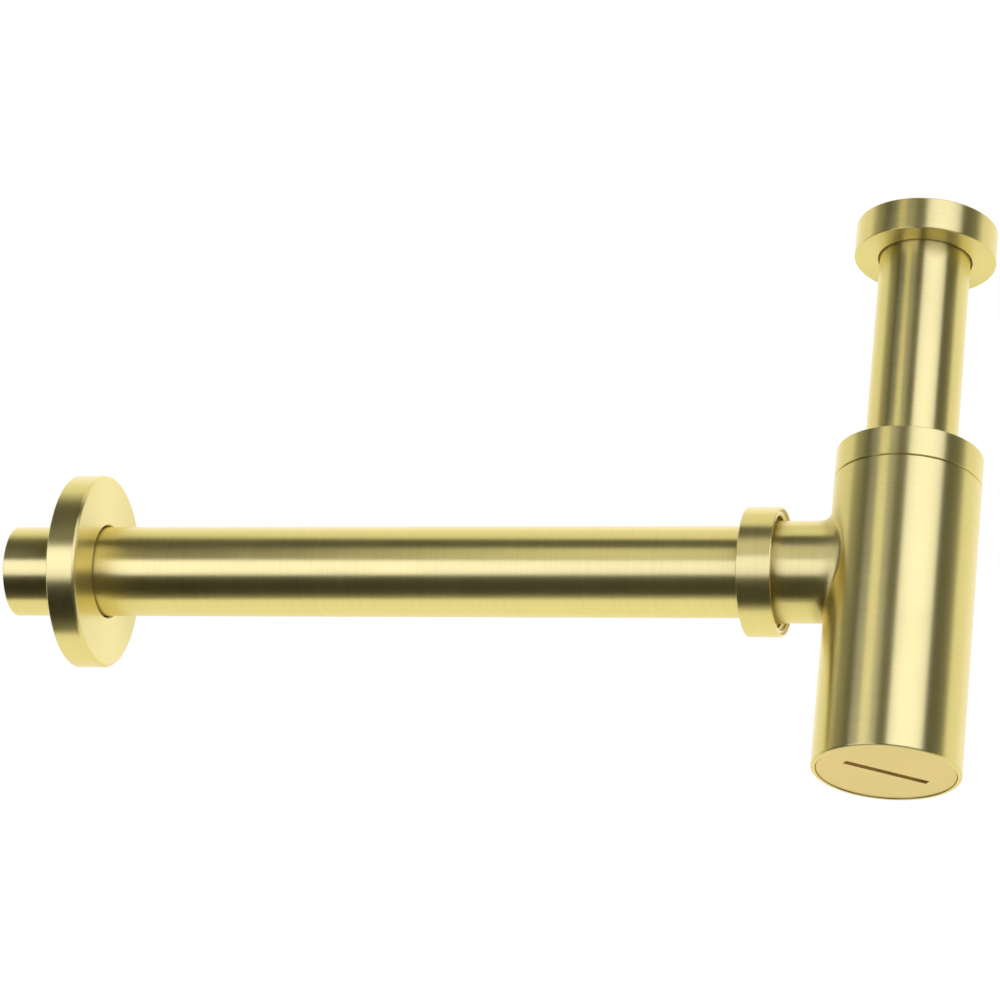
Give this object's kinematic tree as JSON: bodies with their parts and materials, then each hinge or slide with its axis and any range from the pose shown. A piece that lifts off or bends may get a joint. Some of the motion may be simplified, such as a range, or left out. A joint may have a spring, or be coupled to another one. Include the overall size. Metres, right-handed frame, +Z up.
{
  "type": "bottle trap",
  "caption": "Bottle trap for a wash basin: telescopic inlet with a round nut, bottle with a slotted clean-out plug, side branch with a round nut, long outlet tube and round wall flange.",
  "frame": {"origin": "on the inlet's axis, on the face where the basin waste lands on its gasket", "axes": "+Z up along the inlet, -X along the outlet tube towards the wall"},
  "size_m": [0.3485, 0.069, 0.2065],
  "materials": {
    "brass": "satin, brushed around each axis",
    "rubber": "matt",
    "plastic": "smooth"
  },
  "bodies": {
    "inlet_nut": {"inlet_nut": "brass"},
    "inlet_gasket": {"inlet_gasket": "rubber"},
    "inlet_tube": {"inlet_tube": "brass"},
    "bottle": {"trap_body": "brass", "top_seal": "rubber", "outlet_seal": "rubber"},
    "top_ring": {"top_ring": "plastic"},
    "top_nut": {"top_nut": "brass"},
    "outlet_ring": {"outlet_ring": "plastic"},
    "outlet_nut": {"outlet_nut": "brass"},
    "cleanout_gasket": {"cleanout_gasket": "rubber"},
    "cleanout_plug": {"cleanout_plug": "brass"},
    "outlet_tube": {"outlet_tube": "brass"},
    "wall_flange": {"wall_flange": "brass", "flange_o_ring": "rubber"}
  },
  "joints": [
    {"name": "inlet_nut_slide", "type": "slide", "parent": "inlet_nut", "child": "inlet_gasket", "axis": [0, 0, 1], "range_m": [0, 0.055]},
    {"name": "trap_swivel", "type": "hinge", "parent": "inlet_gasket", "child": "inlet_tube", "pos_m": [0, 0, 0], "axis": [0, 0, 1], "continuous": true},
    {"name": "height_slide", "type": "slide", "parent": "inlet_tube", "child": "bottle", "axis": [0, 0, 1], "range_m": [-0.02, 0.008]},
    {"name": "top_ring_lift", "type": "slide", "parent": "bottle", "child": "top_ring", "axis": [0, 0, 1], "range_m": [0, 0.0061]},
    {"name": "top_nut_turn", "type": "hinge", "parent": "top_ring", "child": "top_nut", "pos_m": [0, 0, -0.0935], "axis": [0, 0, 1], "range_deg": [0, 1080]},
    {"name": "outlet_ring_shift", "type": "slide", "parent": "bottle", "child": "outlet_ring", "axis": [-1, 0, 0], "range_m": [0, 0.007]},
    {"name": "outlet_nut_turn", "type": "hinge", "parent": "outlet_ring", "child": "outlet_nut", "pos_m": [-0.0533, 0, -0.12635], "axis": [-1, 0, 0], "range_deg": [0, 1080]},
    {"name": "cleanout_gasket_drop", "type": "slide", "parent": "bottle", "child": "cleanout_gasket", "axis": [0, 0, -1], "range_m": [0, 0.0091]},
    {"name": "cleanout_plug_turn", "type": "hinge", "parent": "cleanout_gasket", "child": "cleanout_plug", "pos_m": [0, 0, -0.1999], "axis": [0, 0, -1], "range_deg": [0, 2160]},
    {"name": "outlet_tube_slide", "type": "slide", "parent": "bottle", "child": "outlet_tube", "axis": [-1, 0, 0], "range_m": [0, 0.018]},
    {"name": "wall_flange_slide", "type": "slide", "parent": "outlet_tube", "child": "wall_flange", "axis": [-1, 0, 0], "range_m": [-0.22, 0.02]}
  ],
  "couplings": [
    {"joint": "top_ring_lift", "follows": "top_nut_turn", "m_per_rad": 0.00031831},
    {"joint": "outlet_ring_shift", "follows": "outlet_nut_turn", "m_per_rad": 0.00036749},
    {"joint": "cleanout_gasket_drop", "follows": "cleanout_plug_turn", "m_per_rad": 0.00023873}
  ]
}
